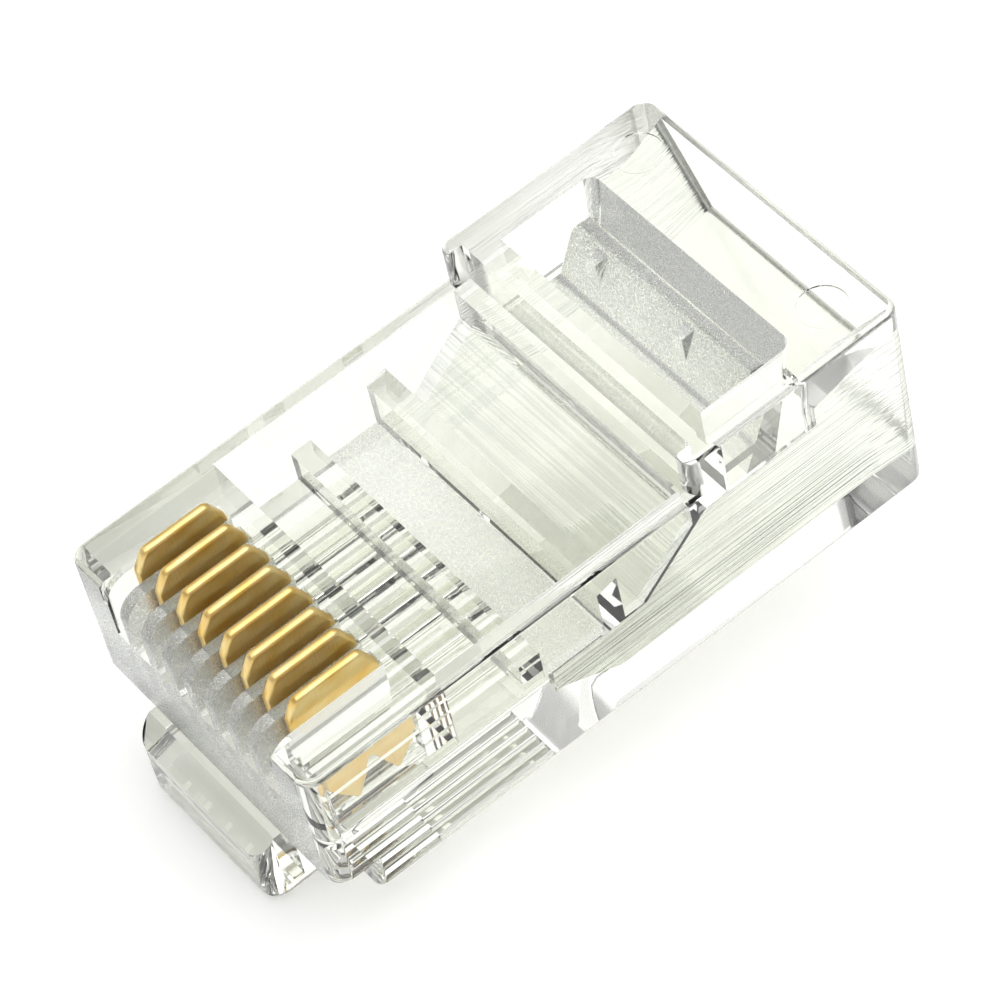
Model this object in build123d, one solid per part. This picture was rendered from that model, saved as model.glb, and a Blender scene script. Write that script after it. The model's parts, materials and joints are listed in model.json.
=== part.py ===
from build123d import *
from math import atan2, degrees, sin, tan
import os

# Eight-way modular plug for network cable, not yet crimped: one clear moulding that is housing,
# strain reliefs and latch, and eight gilt contact blades that still stand above the nose.
# It is modelled along its own axes, in millimetres: +X to the plug's side, +Y from the nose face
# to the cable end, +Z from the latch side to the contact side. Y = 0 is the nose face and Z = 0
# is the flat underside. At the end it is laid down as it rests, on latch tip and latch root.

# Housing, outside
body_width = 11.68
body_length = 22.3
nose_height = 6.5
rear_height = 8.06
rear_block_front = 14.2
chin_length = 1.27
chin_height = 1.44
nose_corner = 0.6
chin_corner = 0.3
shoulder_corner = 0.4
rear_corner = 0.55
edge_round = 0.2

# Contacts and the slots that hold them
ways = 8
pitch = 1.04
blade_thickness = 0.34
blade_front = 1.05
blade_length = 3.15
blade_top = 7.35
blade_height = 3.95
blade_nose_run = 0.38
blade_nose_drop = 0.62
blade_tail_run = 0.42
blade_tail_drop = 0.8
blade_edge = 0.08
crown_round = 0.3
tine_inset = 0.85
tine_height = 1.2
tine_shoulder = 1.0
tine_point = 0.1
tine_notch_width = 0.12
blade_fit = 0.03
blade_end_gap = 0.05
crimp_travel = 1.33
wire_slot_width = 0.62
wire_slot_floor = 4.3
rib_round = 0.85

# Conductor channels, from the blades back to the cable cavity
channel_front = 0.9
channel_back = 8.9
channel_floor = 2.2
channel_ridge = 0.18

# Recess in the contact side, with the two bars that cross it
nose_block_length = 5.05
recess_floor = 3.45
floor_web = 0.35
side_wall = 0.57
lead_bar_front = 7.5
lead_bar_thickness = 0.75
lead_bar_height = 1.22
anchor_bar_front = 10.5
anchor_bar_thickness = 0.75
anchor_bar_height = 1.75
anchor_bar_rise = 0.17

# Sloping wall behind the recess, and the sill and frame bar above it
slope_foot = 11.9
slope_wall = 0.4
sill_front = 14.1
sill_thickness = 1.3
frame_bar_front = 14.75
frame_bar_thickness = 0.95

# Cable cavity
floor_thickness = 1.25
cavity_width = 9.7
cavity_ramp_run = 2.0
cavity_lap = 0.3
cavity_mouth_height = 5.65
cavity_roof_height = 4.7
mouth_flare = 0.35
mouth_flare_length = 1.8

# Window over the cable, and the jacket anchor in it
window_width = 9.2
window_length = 3.5
window_rake = 0.25
window_corner = 0.4
anchor_width = 8.3
anchor_top = 7.35
anchor_foot = 4.55
anchor_crest = 0.42
anchor_crest_gap = 0.73
anchor_lean = 1.4
anchor_thickness = 1.1
anchor_back_lean = 0.35
anchor_web = 0.36
anchor_tooth = 0.27
anchor_corner = 0.5
crest_round = 0.15
gusset_width = 0.5
gusset_places = (-2.72, 1.27)
gusset_from_top = 0.25
gusset_reach = 0.5
gusset_lap = 0.1

# Marks that the mould leaves on the contact side
ejector_mark_radius = 0.8
ejector_mark_spacing = 8.4
ejector_mark_from_end = 1.62
mark_depth = 0.06
gate_mark_width = 0.6
gate_mark_depth = 0.24
gate_mark_height = 0.35
gate_mark_place = -3.26

# Latch
latch_width = 6.2
latch_front = -0.95
root_shoulder = 0.75
root_corner = 0.6
root_depth = 1.7
hinge_place = 1.9
hinge_gap = 0.03
hinge_lip = 0.3
arm_thickness = 1.25
catch_place = 8.3
catch_drop = 1.02
catch_thickness = 1.35
tail_width = 3.25
tail_end = 15.6
tail_drop = 2.62
tail_thickness = 1.15
tail_corner = 0.5
foot_round = 0.5

# Places that follow from the sizes above
half_width = body_width / 2
recess_half = half_width - side_wall
channel_roof = recess_floor - floor_web
anchor_bar_back = anchor_bar_front + anchor_bar_thickness
sill_bottom = nose_height - sill_thickness
frame_bar_back = frame_bar_front + frame_bar_thickness
window_back = frame_bar_back + window_length
blade_back = blade_front + blade_length
blade_low = blade_top - blade_height
blade_slot_width = blade_thickness + 2 * blade_fit
blade_slot_floor = blade_low - crimp_travel - blade_end_gap
wire_hole = pitch - channel_ridge
arm_top = arm_thickness - root_depth
hinge_height = arm_top - arm_thickness / 2
over = 1.0


def across(points, half):
    """Solid with the given side outline, points as (y, z), reaching half to each side in X."""
    return extrude(Plane.YZ * Polygon(*points, align=None), amount=half, both=True)


def upright(points, low, high):
    """Solid with the given plan outline, points as (x, y), from height low to high."""
    return extrude(Plane.XY.offset(low) * Polygon(*points, align=None), amount=high - low)


def block(x_mid, width, front, back, low, high):
    """Box placed by its middle and width in X, its ends in Y and its heights in Z."""
    size = Box(width, back - front, high - low, align=(Align.CENTER, Align.MIN, Align.MIN))
    return Pos(x_mid, front, low) * size


def rounded(solid, axis, front, low, radius):
    """The solid with its edges along one axis rounded where they pass a given Y and Z."""
    edges = solid.edges().filter_by(axis)
    here = [e for e in edges if abs(e.center().Y - front) < 1e-3 and abs(e.center().Z - low) < 1e-3]
    return fillet(here, radius)


def way_places():
    """X of each contact, the first on the right of the nose as the plug is drawn."""
    return [(ways - 1) / 2 * pitch - way * pitch for way in range(ways)]


def outer_body():
    """Solid outer form: nose with its chin cut back below, and the higher block at the rear."""
    body = across(
        [
            (chin_length, 0),
            (body_length, 0),
            (body_length, rear_height),
            (rear_block_front, rear_height),
            (rear_block_front, nose_height),
            (0, nose_height),
            (0, chin_height),
            (chin_length, chin_height),
        ],
        half_width,
    )
    corners = [(0, nose_corner), (chin_length, chin_corner)]
    corners += [(rear_block_front, shoulder_corner), (body_length, rear_corner)]
    for place, radius in corners:
        upright_edges = body.edges().filter_by(Axis.Z)
        body = fillet([e for e in upright_edges if abs(e.center().Y - place) < 1e-3], radius)
    top = body.faces().filter_by(Axis.Z).sort_by(Axis.Z)
    rear_rim = top[-1].edges()
    body = fillet(rear_rim, edge_round)
    base_rim = body.faces().filter_by(Axis.Z).sort_by(Axis.Z)[0].edges()
    body = fillet(base_rim, edge_round)
    return rounded(body, Axis.X, 0, nose_height, edge_round)


def slope_ends():
    """Foot and head of the wall that slopes from the recess floor up to the sill, as (y, z)."""
    return (slope_foot, recess_floor), (sill_front, sill_bottom)


def recess():
    """Pocket in the contact side, behind the nose block, with a sill cut down behind it."""
    foot, head = slope_ends()
    pocket = [
        (nose_block_length, nose_height + over),
        (nose_block_length, recess_floor),
        foot,
        head,
        (sill_front, nose_height + over),
    ]
    shelf_front = sill_front - over
    shelf = block(0, 2 * recess_half, shelf_front, frame_bar_front, nose_height, rear_height + over)
    return across(pocket, recess_half) + shelf


def cavity():
    """Space for the cable's jacket: level floor, roof that slopes with the recess, flared mouth."""
    foot, head = slope_ends()
    lean = atan2(head[1] - foot[1], head[0] - foot[0])
    wall_run = slope_wall / sin(lean)
    foot_run = wall_run - floor_web / tan(lean)
    roof = floor_thickness + cavity_roof_height
    mouth = floor_thickness + cavity_mouth_height
    flare_rise = (mouth - roof) / (body_length - window_back)
    side = [
        (channel_back - cavity_lap, channel_floor),
        (channel_back, channel_floor),
        (channel_back + cavity_ramp_run, floor_thickness),
        (body_length + over, floor_thickness),
        (body_length + over, mouth + flare_rise * over),
        (window_back - window_rake, roof),
        (window_back - window_rake, sill_bottom),
        (head[0] + wall_run, head[1]),
        (foot[0] + foot_run, channel_roof),
        (channel_back - cavity_lap, channel_roof),
    ]
    half = cavity_width / 2
    flare_start = body_length - mouth_flare_length
    wide = half + mouth_flare * (1 + over / mouth_flare_length)
    plan = [
        (-half, channel_back - over),
        (half, channel_back - over),
        (half, flare_start),
        (wide, body_length + over),
        (-wide, body_length + over),
        (-half, flare_start),
    ]
    return across(side, half_width) & upright(plan, 0, rear_height)


def channels():
    """Eight round-bottomed channels side by side, one for each conductor."""
    radius = wire_hole / 2
    middle = channel_floor + radius
    length = channel_back - channel_front
    round_floor = Rot(X=-90) * Cylinder(radius, length, align=(Align.CENTER, Align.CENTER, Align.MIN))
    cuts = []
    for x in way_places():
        cuts.append(Pos(x, channel_front, middle) * round_floor)
        cuts.append(block(x, wire_hole, channel_front, channel_back, middle, channel_roof))
    return cuts


def blade_slots():
    """Slots down from the nose top: wide above for the jack's wires, a close fit below."""
    cuts = []
    for x in way_places():
        back = blade_back + blade_end_gap
        cuts.append(block(x, wire_slot_width, -over, back, wire_slot_floor, nose_height + over))
        front = blade_front - blade_end_gap
        cuts.append(block(x, blade_slot_width, front, back, blade_slot_floor, nose_height + over))
    return cuts


def rib_rounding():
    """What comes off the nose's upper front edge so that the ribs between the slots are round."""
    corner = block(0, ways * pitch, -over, rib_round, nose_height - rib_round, nose_height + over)
    barrel = Rot(Y=90) * Cylinder(rib_round, body_width)
    return corner - Pos(0, rib_round, nose_height - rib_round) * barrel


def window():
    """Opening over the cable, with a raked back wall."""
    roof = floor_thickness + cavity_roof_height
    low = min(sill_bottom, roof) - over / 4
    side = [
        (frame_bar_back, low),
        (window_back - window_rake, low),
        (window_back - window_rake, roof),
        (window_back, rear_height),
        (window_back, rear_height + over),
        (frame_bar_back, rear_height + over),
    ]
    opening = across(side, window_width / 2)
    corners = [e for e in opening.edges() if e.center().Y > frame_bar_back + over and abs(e.center().X) > 1]
    upright_corners = [e for e in corners if abs(e.tangent_at(0.5).Z) > 0.5]
    return fillet(upright_corners, window_corner)


def crossing_bars():
    """Lead bar and conductor anchor bar, moulded from wall to wall over the channels."""
    reach = recess_half + side_wall / 2
    low = recess_floor - floor_web / 2
    lead_back = lead_bar_front + lead_bar_thickness
    lead_top = recess_floor + lead_bar_height
    lead = block(0, 2 * reach, lead_bar_front, lead_back, low, lead_top)
    anchor_top_front = recess_floor + anchor_bar_height
    anchor = across(
        [
            (anchor_bar_front, low),
            (anchor_bar_back, low),
            (anchor_bar_back, anchor_top_front + anchor_bar_rise),
            (anchor_bar_front, anchor_top_front),
        ],
        reach,
    )
    return lead + anchor


def jacket_anchor():
    """Leaning bar that the crimping die pushes onto the cable's jacket, held by a thin web."""
    crest_back = window_back - anchor_crest_gap
    crest_front = crest_back - anchor_crest
    foot_front = crest_front - anchor_lean
    foot_back = foot_front + anchor_thickness
    tooth_low = anchor_foot - anchor_tooth
    bar = across(
        [
            (crest_front, anchor_top),
            (foot_front, anchor_foot),
            (foot_front + anchor_tooth, tooth_low),
            (foot_front + 2 * anchor_tooth, anchor_foot),
            (foot_front + 3 * anchor_tooth, tooth_low),
            (foot_back, anchor_foot),
            (crest_back, anchor_top - anchor_back_lean),
            (crest_back, anchor_top),
        ],
        anchor_width / 2,
    )
    bar = rounded(bar, Axis.X, crest_front, anchor_top, crest_round)
    bar = rounded(bar, Axis.X, crest_back, anchor_top, crest_round)
    ends = block(0, anchor_width, frame_bar_back, window_back, sill_bottom - over, anchor_top)
    ends = fillet(ends.edges().filter_by(Axis.Y).group_by(Axis.Z)[-1], anchor_corner)
    bar = bar & ends
    run_per_height = anchor_lean / (anchor_top - anchor_foot)
    web_top = sill_bottom + anchor_web
    web_face = foot_front + run_per_height * (web_top - anchor_foot)
    web_back = web_face + anchor_web
    web = block(0, anchor_width, frame_bar_back - anchor_web, web_back, sill_bottom, web_top)
    gusset_top = anchor_top - gusset_from_top
    gusset_back = foot_front + run_per_height * (gusset_top - anchor_foot)
    gusset_low = gusset_top - gusset_reach / run_per_height
    gusset = across(
        [
            (gusset_back + gusset_lap, gusset_top),
            (gusset_back - gusset_reach, gusset_top),
            (gusset_back - gusset_reach, gusset_low),
            (gusset_back - gusset_reach + gusset_lap, gusset_low),
        ],
        gusset_width / 2,
    )
    return bar + web + [Pos(x, 0, 0) * gusset for x in gusset_places]


def mould_marks():
    """Shallow rings of the ejector pins and the nick of the gate, as cuts."""
    disc = Cylinder(ejector_mark_radius, 2 * mark_depth)
    place = body_length - ejector_mark_from_end
    marks = [Pos(side * ejector_mark_spacing / 2, place, rear_height) * disc for side in (-1, 1)]
    gate_front = frame_bar_back - gate_mark_depth
    gate_low = rear_height - gate_mark_height
    gate_top = rear_height + over
    nick = block(gate_mark_place, gate_mark_width, gate_front, frame_bar_back + over, gate_low, gate_top)
    return marks + [nick]


def latch_root():
    """Block under the nose that the latch springs from; it bulges ahead of the nose face."""
    back = hinge_place - hinge_lip
    outline = [
        (latch_front, -root_depth),
        (latch_front, root_shoulder),
        (latch_front + chin_height - root_shoulder, chin_height),
        (chin_length + chin_corner, chin_height),
        (back, edge_round),
        (back, -root_depth),
    ]
    root = across(outline, latch_width / 2)
    root = fillet(root.edges().filter_by(Axis.Z).group_by(Axis.Y)[0], root_corner)
    root = rounded(root, Axis.X, latch_front, -root_depth, foot_round)
    socket = Rot(Y=90) * Cylinder(arm_thickness / 2 + hinge_gap, body_width)
    return root - Pos(0, hinge_place, hinge_height) * socket


def build_housing():
    housing = outer_body() - recess() - cavity() - channels()
    housing = housing - rib_rounding() - blade_slots() - window()
    housing = housing + crossing_bars() + jacket_anchor() + latch_root()
    return housing - mould_marks()


def build_latch():
    """Sprung arm with two catch shoulders, and the narrow tail that a thumb presses."""
    catch_top = arm_top - catch_drop
    tail_top = arm_top - tail_drop
    tip_low = tail_top - tail_thickness
    arm = across(
        [
            (hinge_place, arm_top),
            (hinge_place, -root_depth),
            (catch_place, catch_top - catch_thickness),
            (catch_place, catch_top),
        ],
        latch_width / 2,
    )
    tail = across(
        [
            (catch_place - over, catch_top - catch_thickness / 2),
            (catch_place, catch_top - catch_thickness),
            (tail_end, tip_low),
            (tail_end, tail_top),
            (catch_place, catch_top),
        ],
        tail_width / 2,
    )
    tail = fillet(tail.edges().filter_by(Axis.Z).group_by(Axis.Y)[-1], tail_corner)
    tail = rounded(tail, Axis.X, tail_end, tip_low, foot_round)
    knuckle = Rot(Y=90) * Cylinder(arm_thickness / 2, latch_width)
    return arm + tail + Pos(0, hinge_place, hinge_height) * knuckle


def build_contact():
    """One blade at X = 0: rounded crown above, two insulation-piercing tines below."""
    notch = blade_low + tine_height
    shoulder = blade_low + tine_shoulder
    front_tip = blade_front + tine_inset
    back_tip = blade_back - tine_inset
    middle = (blade_front + blade_back) / 2
    outline = [
        (blade_front + blade_nose_run, blade_top),
        (blade_front, blade_top - blade_nose_drop),
        (blade_front, shoulder),
        (front_tip - tine_point / 2, blade_low),
        (front_tip + tine_point / 2, blade_low),
        (middle - tine_notch_width / 2, notch),
        (middle + tine_notch_width / 2, notch),
        (back_tip - tine_point / 2, blade_low),
        (back_tip + tine_point / 2, blade_low),
        (blade_back, shoulder),
        (blade_back, blade_top - blade_tail_drop),
        (blade_back - blade_tail_run, blade_top),
    ]
    blade = across(outline, blade_thickness / 2)
    blade = rounded(blade, Axis.X, blade_front + blade_nose_run, blade_top, crown_round)
    blade = rounded(blade, Axis.X, blade_back - blade_tail_run, blade_top, crown_round)
    crown = blade.faces().filter_by(Axis.Z).sort_by(Axis.Z)[-1]
    return chamfer(crown.edges().filter_by(Axis.Y), blade_edge)


def rest_tilt():
    """Degrees that the plug leans nose down when it lies on its latch."""
    run = tail_end - foot_round - (latch_front + foot_round)
    drop = tail_thickness + tail_drop - arm_top - root_depth
    return degrees(atan2(drop, run))


def lay_down(pieces):
    """Where the plug comes to rest: leaning on its latch, on Z = 0, with its middle over 0, 0."""
    lean = Rot(X=rest_tilt())
    box = Compound([lean * piece for piece in pieces.values()]).bounding_box()
    return Pos(0, -(box.min.Y + box.max.Y) / 2, -box.min.Z) * lean


pieces = {"housing": build_housing(), "latch": build_latch()}
blade = build_contact()
for number, x in enumerate(way_places(), start=1):
    pieces[f"contact_{number}"] = Pos(x, 0, 0) * blade

rest = lay_down(pieces)
os.makedirs("parts", exist_ok=True)
for name, piece in pieces.items():
    export_step(rest * piece, f"parts/{name}.step")
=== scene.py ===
import json
import math

import bpy
from mathutils import Matrix, Quaternion, Vector


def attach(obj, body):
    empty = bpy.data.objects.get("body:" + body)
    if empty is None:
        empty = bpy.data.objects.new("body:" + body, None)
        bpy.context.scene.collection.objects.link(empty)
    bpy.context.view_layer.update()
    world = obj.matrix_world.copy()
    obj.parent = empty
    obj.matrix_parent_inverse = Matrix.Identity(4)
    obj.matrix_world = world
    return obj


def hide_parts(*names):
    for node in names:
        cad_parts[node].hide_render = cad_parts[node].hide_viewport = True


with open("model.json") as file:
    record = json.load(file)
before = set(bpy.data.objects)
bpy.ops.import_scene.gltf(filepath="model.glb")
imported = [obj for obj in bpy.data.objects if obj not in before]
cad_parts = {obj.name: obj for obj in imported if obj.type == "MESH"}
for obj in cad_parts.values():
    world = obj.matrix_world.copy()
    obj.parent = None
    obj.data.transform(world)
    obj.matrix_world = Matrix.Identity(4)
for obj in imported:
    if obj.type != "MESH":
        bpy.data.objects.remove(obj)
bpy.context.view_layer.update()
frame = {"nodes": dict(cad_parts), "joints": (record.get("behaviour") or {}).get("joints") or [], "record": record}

bl_info = {
    "name": "Modular plug finish",
    "version": (1, 0, 0),
    "blender": (4, 5, 0),
    "location": "3D View > Sidebar > Plug",
    "description": "Dresses an eight-way modular plug in clear plastic and gold plate on a pale table",
    "category": "Object",
}

MM = 0.001
MERGE_GAP = 0.0005 * MM
FLAT_ANGLE = math.radians(0.2)
SHARP_ANGLE = math.radians(34)
POLYCARBONATE_IOR = 1.585
MOST_WALLS_SEEN = 11
CONTACTS = sorted(name for name in frame["nodes"] if name.startswith("contact_"))

# Where the steel's finish, and with it the painted shade in its marks, changes on the housing: two corners of a
# box and, where not all of its faces are meant, the way that they look, along the plug's own axes in mm from the
# middle of the nose face
SLOPING_WALL = ((-5.4, 11.8, 0.4), (5.4, 14.3, 2.5), (0, -0.7, 0.7))
CAVITY_LEFT_SIDE = ((-5.3, 11.5, -2), (-4.7, 22.4, 4), (1, 0, 0))
CAVITY_RIGHT_SIDE = ((4.7, 11.5, -2), (5.3, 22.4, 4), (-1, 0, 0))
FLOOR_BETWEEN_BARS = ((-5.4, 8.2, 0.4), (5.4, 10.6, 0.8), (0, 0, 1))
JACKET_ANCHOR = ((-4.2, 16.1, 1.5), (4.2, 18.6, 4.6), (0, -0.6, 0.8))
WINDOW_REAR_WALL = ((-4.8, 18.6, 2.5), (4.8, 19.6, 5.3), (0, -1, 0))
NOSE_RIBS = ((-3.9, -0.2, -0.5), (3.9, 0.95, 3.7))
REAR_END = ((-5.9, 22.0, -3), (5.9, 22.5, 5.3), (0, 1, 0))

# Cosine of the widest angle between a face and the way that it is asked to look
LEAST_ALIKE = 0.6


def plug_lean():
    """Angle by which the plug leans nose down, from the way its contacts slide."""
    slide = next(joint for joint in frame["joints"] if joint["child"] == CONTACTS[0])
    return math.atan2(slide["axis"][1], -slide["axis"][2])


def nose_middle():
    """Middle of the nose face, the zero that all patterns on the plug are measured from."""
    mount = next(mount for mount in frame["record"]["mounts"] if mount["name"] == "nose_face")
    return Vector(mount["pos_m"])


def linear(hex_colour):
    """A six-digit sRGB hex colour as the linear RGBA that a shader takes."""
    parts = [int(hex_colour[place : place + 2], 16) / 255 for place in (1, 3, 5)]
    return (*[part / 12.92 if part <= 0.04045 else ((part + 0.055) / 1.055) ** 2.4 for part in parts], 1.0)


def add_node(tree, kind, inputs=None, **settings):
    """Adds a node with its settings; each input is a value or another node's output."""
    node = tree.nodes.new(kind)
    for name, value in settings.items():
        setattr(node, name, value)
    for name, value in (inputs or {}).items():
        if isinstance(value, bpy.types.NodeSocket):
            tree.links.new(value, node.inputs[name])
        else:
            node.inputs[name].default_value = value
    return node


def new_material(name):
    """An empty node material and its tree."""
    material = bpy.data.materials.new(name)
    material.use_nodes = True
    material.node_tree.nodes.clear()
    return material, material.node_tree


def plug_axes():
    """Turns a place in the frame, in metres, to the plug's own axes, in mm from the nose middle."""
    shift = Matrix.Translation(-nose_middle())
    return Matrix.Scale(1 / MM, 4) @ Matrix.Rotation(-plug_lean(), 4, "X") @ shift


def plug_pattern(tree, grain):
    """Noise whose grains measure grain, in mm, along the plug's own X, Y and Z."""
    lean = plug_lean()
    start = Matrix.Rotation(-lean, 3, "X") @ nose_middle()
    place = add_node(tree, "ShaderNodeTexCoord").outputs["Object"]
    turn = {"Vector": place, "Location": -start / MM, "Rotation": (-lean, 0, 0), "Scale": (1 / MM,) * 3}
    turned = add_node(tree, "ShaderNodeMapping", turn).outputs["Vector"]
    stretch = {"Vector": turned, "Scale": [1 / size for size in grain]}
    stretched = add_node(tree, "ShaderNodeMapping", stretch).outputs["Vector"]
    noise = {"Vector": stretched, "Scale": 1.0, "Detail": 0.0}
    return add_node(tree, "ShaderNodeTexNoise", noise).outputs["Fac"]


def polycarbonate(name, finish, marks_painted_shade, grain, roughest, relief=0.0, through=1.0):
    """Injection-moulded polycarbonate, which takes the finish of the steel that it was moulded on.

    It bends light strongly, so its edges draw themselves; the steel's marks scatter light away and draw fine lines
    on it.
    Where the marks are, its colour is greyed towards a second colour: painted shade, standing in for the light
    that the marks scatter away and for the dark room that they reflect.
    """
    material, tree = new_material(name)
    marks = plug_pattern(tree, grain)
    haze = {"Value": marks, "From Min": 0.3, "From Max": 0.7, "To Min": roughest / 2, "To Max": roughest}
    # Painted shade: where the marks are, the colour greys from the tint towards the shade
    painted_shade_mask = add_node(tree, "ShaderNodeMapRange", {"Value": marks, "From Min": 0.4, "From Max": 0.6})
    colour = add_node(
        tree,
        "ShaderNodeMix",
        {"Factor": painted_shade_mask.outputs["Result"], "A": linear(finish.tint), "B": linear(marks_painted_shade)},
        data_type="RGBA",
    )
    plastic = add_node(
        tree,
        "ShaderNodeBsdfPrincipled",
        {
            "Base Color": colour.outputs["Result"],
            "Roughness": add_node(tree, "ShaderNodeMapRange", haze).outputs["Result"],
            "IOR": POLYCARBONATE_IOR,
            "Transmission Weight": through,
        },
    )
    if relief:
        bump = add_node(tree, "ShaderNodeBump", {"Height": marks, "Strength": 1.0, "Distance": relief})
        tree.links.new(bump.outputs["Normal"], plastic.inputs["Normal"])

    # Lamps shine through the thin walls, so the table under the plug stays bright
    lamp_ray = add_node(tree, "ShaderNodeLightPath").outputs["Is Shadow Ray"]
    passed = add_node(tree, "ShaderNodeBsdfTransparent", {"Color": linear(finish.lamp_tint)})
    mixed = add_node(
        tree, "ShaderNodeMixShader", {0: lamp_ray, 1: plastic.outputs["BSDF"], 2: passed.outputs["BSDF"]}
    )
    add_node(tree, "ShaderNodeOutputMaterial", {"Surface": mixed.outputs["Shader"]})
    return material


def gold_plate(finish):
    """Gold plate over stamped phosphor bronze: warm satin metal with the shear lines of the punch."""
    material, tree = new_material("gold_plate")
    patches, shear_lines = (0.25, 0.8, 0.4), (0.5, 0.05, 0.9)
    tone = plug_pattern(tree, patches)
    colour = add_node(
        tree,
        "ShaderNodeMix",
        {"Factor": tone, "A": linear(finish.deep_gold), "B": linear(finish.pale_gold)},
        data_type="RGBA",
    )
    satin = {"Value": tone, "To Min": finish.satin, "To Max": finish.satin + 0.15}
    shear = {"Height": plug_pattern(tree, shear_lines), "Strength": 1.0, "Distance": finish.shear_depth}
    metal = add_node(
        tree,
        "ShaderNodeBsdfPrincipled",
        {
            "Base Color": colour.outputs["Result"],
            "Metallic": 0.85,
            "Roughness": add_node(tree, "ShaderNodeMapRange", satin).outputs["Result"],
            "Normal": add_node(tree, "ShaderNodeBump", shear).outputs["Normal"],
        },
    )
    add_node(tree, "ShaderNodeOutputMaterial", {"Surface": metal.outputs["BSDF"]})
    return material


def table_white(finish):
    """Matt white card, lit until it is as pale as the photographer's table."""
    material, tree = new_material("white_card")
    card = add_node(
        tree,
        "ShaderNodeBsdfPrincipled",
        {
            "Base Color": linear(finish.table),
            "Roughness": 0.9,
            "Specular IOR Level": 0.0,
            "Emission Color": (1, 1, 1, 1),
            "Emission Strength": finish.table_glow,
        },
    )
    add_node(tree, "ShaderNodeOutputMaterial", {"Surface": card.outputs["BSDF"]})
    return material


def select_only(piece):
    """Makes one object the only selected and active one."""
    bpy.ops.object.select_all(action="DESELECT")
    piece.select_set(True)
    bpy.context.view_layer.objects.active = piece


def dress(node, name, edge_break, material):
    """A finished copy of a CAD piece: merged, its sharp edges broken, smooth where it is round."""
    piece = bpy.data.objects.new(name, frame["nodes"][node].data.copy())
    bpy.context.scene.collection.objects.link(piece)
    select_only(piece)
    bpy.ops.object.mode_set(mode="EDIT")
    bpy.ops.mesh.select_all(action="SELECT")
    bpy.ops.mesh.remove_doubles(threshold=MERGE_GAP)
    bpy.ops.mesh.dissolve_limited(angle_limit=FLAT_ANGLE)
    bpy.ops.object.mode_set(mode="OBJECT")
    bpy.ops.object.modifier_add(type="BEVEL")
    bevel = piece.modifiers[-1]
    bevel.width = edge_break
    bevel.segments = 2
    bevel.limit_method = "ANGLE"
    bevel.angle_limit = SHARP_ANGLE
    bevel.use_clamp_overlap = True
    bpy.ops.object.modifier_apply(modifier=bevel.name)
    bpy.ops.object.shade_smooth_by_angle(angle=SHARP_ANGLE)
    bpy.ops.object.modifier_add(type="WEIGHTED_NORMAL")
    flat = piece.modifiers[-1]
    flat.keep_sharp = True
    flat.weight = 100
    bpy.ops.object.modifier_apply(modifier=flat.name)
    piece.data.materials.clear()
    piece.data.materials.append(material)
    body = next(body for body, nodes in frame["record"]["behaviour"]["bodies"].items() if node in nodes)
    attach(piece, body)
    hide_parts(node)
    return piece


def refinish(piece, material, low, high, facing=None):
    """Gives the faces in a box, that look towards facing if it is given, another finish.

    The box and the direction are along the plug's own axes, in mm from the middle of the nose face.
    """
    axes = plug_axes()
    turn = axes.to_3x3().normalized()
    slots = piece.data.materials
    if material.name not in slots:
        slots.append(material)
    for face in piece.data.polygons:
        middle = axes @ face.center
        inside = all(low[i] <= middle[i] <= high[i] for i in range(3))
        if inside and (facing is None or (turn @ face.normal).dot(Vector(facing)) > LEAST_ALIKE):
            face.material_index = slots.find(material.name)


class PLUG_PG_plastic(bpy.types.PropertyGroup):
    """Finish of the clear moulding, with the painted shade in its marks."""

    tint: bpy.props.StringProperty(
        name="Tint", description="Colour that the plastic gives light, as sRGB hex", default="#FEFFF9"
    )
    lamp_tint: bpy.props.StringProperty(
        name="Lamp tint", description="Colour of lamp light behind one wall, as sRGB hex", default="#FDFDFA"
    )
    polish: bpy.props.FloatProperty(
        name="Polish", description="Roughness where the mould is polished", default=0.02, min=0, max=1
    )
    frost: bpy.props.FloatProperty(
        name="Frost", description="Roughness where the mould is spark-eroded", default=0.4, min=0, max=1
    )
    frost_through: bpy.props.FloatProperty(
        name="Frost through",
        description="Share of light that an eroded face lets in",
        default=0.76,
        min=0,
        max=1,
    )
    frost_grain: bpy.props.FloatProperty(
        name="Frost grain", description="Width of the eroded pits", default=0.07 * MM, unit="LENGTH"
    )
    frost_depth: bpy.props.FloatProperty(
        name="Frost depth", description="Depth of the eroded pits", default=0.002 * MM, unit="LENGTH"
    )
    line_haze: bpy.props.FloatProperty(
        name="Line haze",
        description="Roughness where the cutter or the core left lines",
        default=0.16,
        min=0,
        max=1,
    )
    line_width: bpy.props.FloatProperty(
        name="Line width",
        description="Width of the lines of the cutter and the core",
        default=0.07 * MM,
        unit="LENGTH",
    )
    line_depth: bpy.props.FloatProperty(
        name="Line depth",
        description="Depth of the lines of the cutter and the core",
        default=0.02 * MM,
        unit="LENGTH",
    )
    # Painted shade: the faint flow marks grey the base colour to this, standing in for the light that they scatter
    # away
    flow_painted_shade: bpy.props.StringProperty(
        name="Flow shade",
        description="Tint in the plastic's faint flow marks, as sRGB hex",
        default="#FAFBF5",
    )
    # Painted shade: the eroded pits grey the base colour to this, standing in for the light that they scatter away
    frost_painted_shade: bpy.props.StringProperty(
        name="Frost shade", description="Tint in the eroded pits, as sRGB hex", default="#F5F6F6"
    )
    # Painted shade: the cutter's and the core's lines grey the base colour to this, standing in for the dark room
    # that they reflect
    line_painted_shade: bpy.props.StringProperty(
        name="Line shade",
        description="Tint in the cutter's and the core's lines, as sRGB hex",
        default="#E6E9E4",
    )
    edge_break: bpy.props.FloatProperty(
        name="Edge break", description="Width of the broken edges", default=0.06 * MM, unit="LENGTH"
    )


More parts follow.
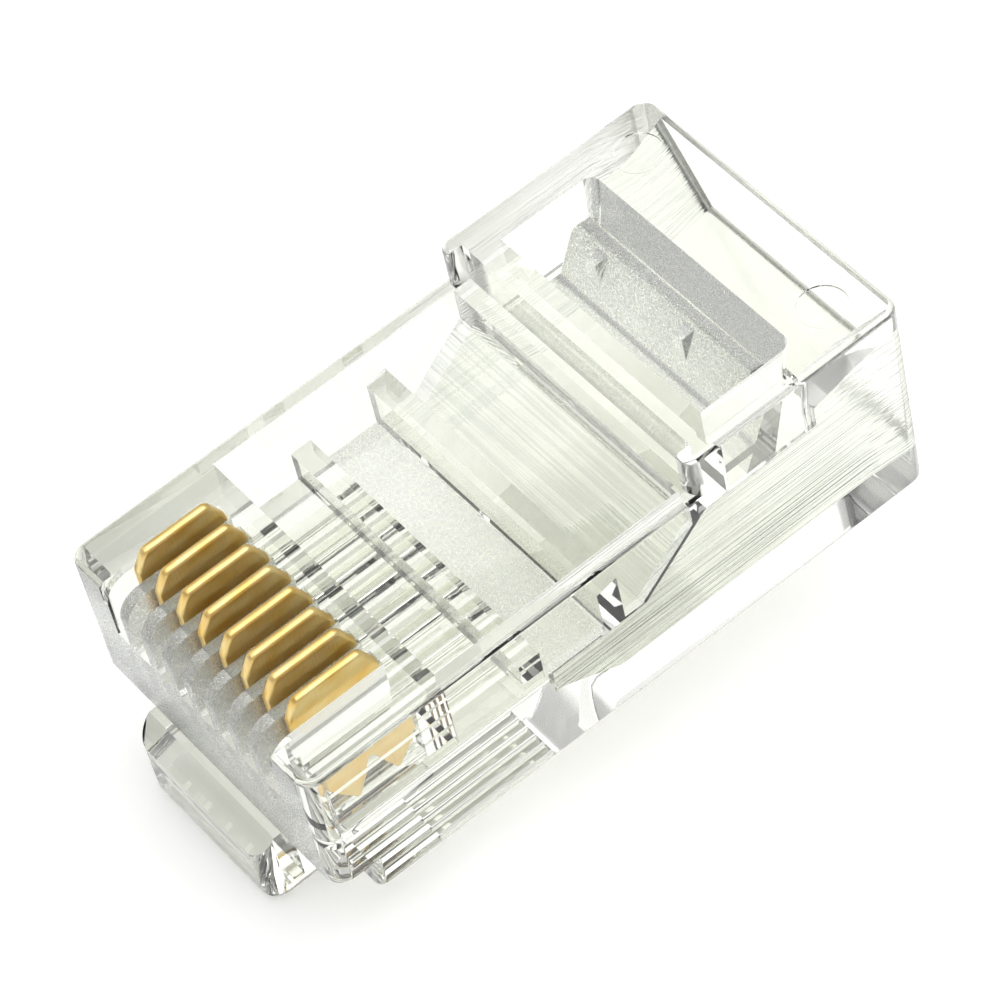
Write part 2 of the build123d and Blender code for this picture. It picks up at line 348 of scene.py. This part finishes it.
class PLUG_PG_contacts(bpy.types.PropertyGroup):
    """Finish of the contact blades."""

    deep_gold: bpy.props.StringProperty(
        name="Deep gold", description="Darker tone of the plating, as sRGB hex", default="#EDBE55"
    )
    pale_gold: bpy.props.StringProperty(
        name="Pale gold", description="Lighter tone of the plating, as sRGB hex", default="#FFEBAE"
    )
    satin: bpy.props.FloatProperty(
        name="Satin", description="Least roughness of the plating", default=0.3, min=0, max=1
    )
    shear_depth: bpy.props.FloatProperty(
        name="Shear depth", description="Depth of the stamping lines", default=0.008 * MM, unit="LENGTH"
    )
    edge_break: bpy.props.FloatProperty(
        name="Edge break", description="Width of the broken edges", default=0.045 * MM, unit="LENGTH"
    )


class PLUG_PG_stage(bpy.types.PropertyGroup):
    """Table, lamps and camera."""

    table: bpy.props.StringProperty(
        name="Table", description="Colour of the table, as sRGB hex", default="#FBFBFB"
    )
    table_glow: bpy.props.FloatProperty(
        name="Table glow", description="Light that the lit-through table gives", default=0.17, min=0
    )
    table_size: bpy.props.FloatProperty(
        name="Table size", description="Side of the table", default=1200 * MM, unit="LENGTH"
    )
    sky: bpy.props.FloatProperty(
        name="Room light", description="Brightness of the room's upper walls", default=0.6, min=0
    )
    soft_box: bpy.props.FloatProperty(
        name="Soft box", description="Brightness of the wide soft box overhead", default=1.75, min=0
    )
    horizon: bpy.props.FloatProperty(
        name="Horizon light", description="Brightness of the room low round the table", default=0.18, min=0
    )
    key_power: bpy.props.FloatProperty(
        name="Top lamp", description="Power of the large soft lamp overhead, in watts", default=0.24, min=0
    )
    fill_power: bpy.props.FloatProperty(
        name="Side lamp", description="Power of the soft lamp at the left, in watts", default=0.06, min=0
    )
    azimuth: bpy.props.FloatProperty(
        name="Azimuth",
        description="Camera's side of the plug",
        default=math.radians(53.71),
        subtype="ANGLE",
    )
    elevation: bpy.props.FloatProperty(
        name="Elevation", description="Camera's height angle", default=math.radians(47.1), subtype="ANGLE"
    )
    roll: bpy.props.FloatProperty(
        name="Roll",
        description="Turn of the camera about its view",
        default=math.radians(-2.55),
        subtype="ANGLE",
    )
    distance: bpy.props.FloatProperty(
        name="Distance", description="Camera to the middle of the plug", default=151.6 * MM, unit="LENGTH"
    )
    lens: bpy.props.FloatProperty(
        name="Lens",
        description="Focal length on a 36 mm wide frame",
        default=185.2,
        subtype="DISTANCE_CAMERA",
    )
    aim: bpy.props.FloatVectorProperty(
        name="Aim",
        description="Point that the camera looks at",
        default=(-0.315 * MM, 0.156 * MM, 6.949 * MM),
        subtype="XYZ",
        unit="LENGTH",
    )


class PLUG_OT_housing(bpy.types.Operator):
    """Dress the housing in clear polycarbonate"""

    bl_idname = "plug.dress_housing"
    bl_label = "Dress the housing"

    def execute(self, context):
        finish = context.scene.plug_plastic
        pit, line = finish.frost_grain / MM, finish.line_width / MM
        flow, pits, cutter_lines, core_lines = (1.5, 4, 1.5), (pit, pit, pit), (6, line, 6), (0.3, 9, line)
        # Roughness, depth and painted shade of the cutter's and the core's lines
        haze, depth, marks_painted_shade = finish.line_haze, finish.line_depth, finish.line_painted_shade
        # Each finish below greys its colour in its marks towards its shade: painted shade
        clear = polycarbonate("clear_polycarbonate", finish, finish.flow_painted_shade, flow, finish.polish)
        frosted = polycarbonate(
            "eroded_polycarbonate",
            finish,
            finish.frost_painted_shade,
            pits,
            finish.frost,
            finish.frost_depth,
            finish.frost_through,
        )
        milled = polycarbonate("milled_polycarbonate", finish, marks_painted_shade, cutter_lines, haze, depth)
        drawn = polycarbonate("drawn_polycarbonate", finish, marks_painted_shade, core_lines, haze, depth)
        housing = dress("housing", "moulded_housing", finish.edge_break, clear)

        # The cutter's lines run across the sloping wall, and the core's along the cavity's sides
        refinish(housing, milled, *SLOPING_WALL)
        for side in (CAVITY_LEFT_SIDE, CAVITY_RIGHT_SIDE):
            refinish(housing, drawn, *side)
        for matt in (FLOOR_BETWEEN_BARS, JACKET_ANCHOR, WINDOW_REAR_WALL, NOSE_RIBS, REAR_END):
            refinish(housing, frosted, *matt)
        return {"FINISHED"}


class PLUG_OT_latch(bpy.types.Operator):
    """Dress the latch in the same plastic as the housing"""

    bl_idname = "plug.dress_latch"
    bl_label = "Dress the latch"

    def execute(self, context):
        finish = context.scene.plug_plastic
        material = bpy.data.materials["clear_polycarbonate"]
        dress("latch", "moulded_latch", finish.edge_break, material)
        return {"FINISHED"}


class PLUG_OT_contacts(bpy.types.Operator):
    """Plate the contact blades with gold"""

    bl_idname = "plug.dress_contacts"
    bl_label = "Plate the contacts"

    def execute(self, context):
        finish = context.scene.plug_contacts
        material = gold_plate(finish)
        for name in CONTACTS:
            dress(name, f"gilt_{name}", finish.edge_break, material)
        return {"FINISHED"}


def add_lamp(name, place, target, size, power):
    """A square soft lamp that faces the target."""
    bpy.ops.object.light_add(type="AREA", location=place)
    lamp = bpy.context.object
    lamp.name = name
    lamp.data.size = size
    lamp.data.energy = power
    lamp.rotation_euler = (Vector(target) - Vector(place)).to_track_quat("-Z", "Y").to_euler()


def add_camera(stage):
    """The camera, placed round its aim by azimuth, elevation and distance, then rolled."""
    azimuth, elevation = stage.azimuth, stage.elevation
    flat = math.cos(elevation)
    back = Vector((math.sin(azimuth) * flat, -math.cos(azimuth) * flat, math.sin(elevation)))
    bpy.ops.object.camera_add(location=Vector(stage.aim) + back * stage.distance)
    camera = bpy.context.object
    camera.name = "photo_camera"
    camera.data.sensor_width = 36.0
    camera.data.lens = stage.lens
    camera.data.clip_start = 0.01
    camera.data.clip_end = 10.0
    camera.rotation_mode = "QUATERNION"
    camera.rotation_quaternion = (-back).to_track_quat("-Z", "Y") @ Quaternion((0, 0, 1), stage.roll)
    bpy.context.scene.camera = camera


def room_light(stage):
    """A grey room under a wide soft box, which draws the edges and walls of clear plastic."""
    world = bpy.data.worlds.new("room")
    world.use_nodes = True
    tree = world.node_tree
    tree.nodes.clear()
    way = add_node(tree, "ShaderNodeTexCoord").outputs["Generated"]
    up = add_node(tree, "ShaderNodeSeparateXYZ", {"Vector": way}).outputs["Z"]

    # Heights, from 0 at the horizon to 1 overhead, at which the soft box begins and is at its brightest
    edge, full = 0.8, 0.88
    walls = {"Value": up, "From Min": 0.0, "From Max": edge, "To Min": stage.horizon, "To Max": stage.sky}
    rise = stage.soft_box - stage.sky
    box = {"Value": up, "From Min": edge, "From Max": full, "To Min": 0.0, "To Max": rise}
    room = add_node(tree, "ShaderNodeMapRange", walls).outputs["Result"]
    overhead = add_node(tree, "ShaderNodeMapRange", box, interpolation_type="SMOOTHSTEP").outputs["Result"]
    strength = add_node(tree, "ShaderNodeMath", {0: room, 1: overhead}, operation="ADD").outputs["Value"]
    light = add_node(tree, "ShaderNodeBackground", {"Color": (1, 1, 1, 1), "Strength": strength})
    add_node(tree, "ShaderNodeOutputWorld", {"Surface": light.outputs["Background"]})
    world.cycles.sampling_method = "NONE"
    return world


class PLUG_OT_stage(bpy.types.Operator):
    """Lay the table and set the lamps and the camera"""

    bl_idname = "plug.set_stage"
    bl_label = "Set the stage"

    def execute(self, context):
        stage = context.scene.plug_stage
        bpy.ops.object.select_all(action="DESELECT")
        bpy.ops.mesh.primitive_plane_add(size=stage.table_size, location=(0, 0, 0))
        table = context.object
        table.name = "table"
        table.data.materials.append(table_white(stage))
        overhead, left = (0, 0, 300 * MM), (-300 * MM, -120 * MM, 140 * MM)
        add_lamp("top_lamp", overhead, target=(0, 0, 0), size=300 * MM, power=stage.key_power)
        add_lamp("side_lamp", left, target=(0, 0, 5 * MM), size=150 * MM, power=stage.fill_power)
        context.scene.world = room_light(stage)
        context.scene.view_settings.view_transform = "Standard"
        cycles = context.scene.cycles
        cycles.max_bounces = MOST_WALLS_SEEN
        cycles.transmission_bounces = MOST_WALLS_SEEN
        cycles.glossy_bounces = 6
        cycles.transparent_max_bounces = 16
        add_camera(stage)
        return {"FINISHED"}


class PLUG_PT_panel(bpy.types.Panel):
    """Lists the steps that finish the plug"""

    bl_idname = "PLUG_PT_panel"
    bl_label = "Modular plug"
    bl_space_type = "VIEW_3D"
    bl_region_type = "UI"
    bl_category = "Plug"

    def draw(self, context):
        for operator in OPERATORS:
            self.layout.operator(operator.bl_idname)
        for group in GROUPS:
            box = self.layout.box()
            box.label(text=GROUPS[group].__doc__)
            for name in GROUPS[group].__annotations__:
                box.prop(getattr(context.scene, group), name)


GROUPS = {"plug_plastic": PLUG_PG_plastic, "plug_contacts": PLUG_PG_contacts, "plug_stage": PLUG_PG_stage}
OPERATORS = (PLUG_OT_housing, PLUG_OT_latch, PLUG_OT_contacts, PLUG_OT_stage)


def register():
    for made in (*GROUPS.values(), *OPERATORS, PLUG_PT_panel):
        bpy.utils.register_class(made)
    for name, group in GROUPS.items():
        setattr(bpy.types.Scene, name, bpy.props.PointerProperty(type=group))


def unregister():
    for name in GROUPS:
        delattr(bpy.types.Scene, name)
    for made in reversed((*GROUPS.values(), *OPERATORS, PLUG_PT_panel)):
        bpy.utils.unregister_class(made)


def main():
    register()
    bpy.ops.plug.dress_housing()
    bpy.ops.plug.dress_latch()
    bpy.ops.plug.dress_contacts()
    bpy.ops.plug.set_stage()


if __name__ == "__main__":
    main()
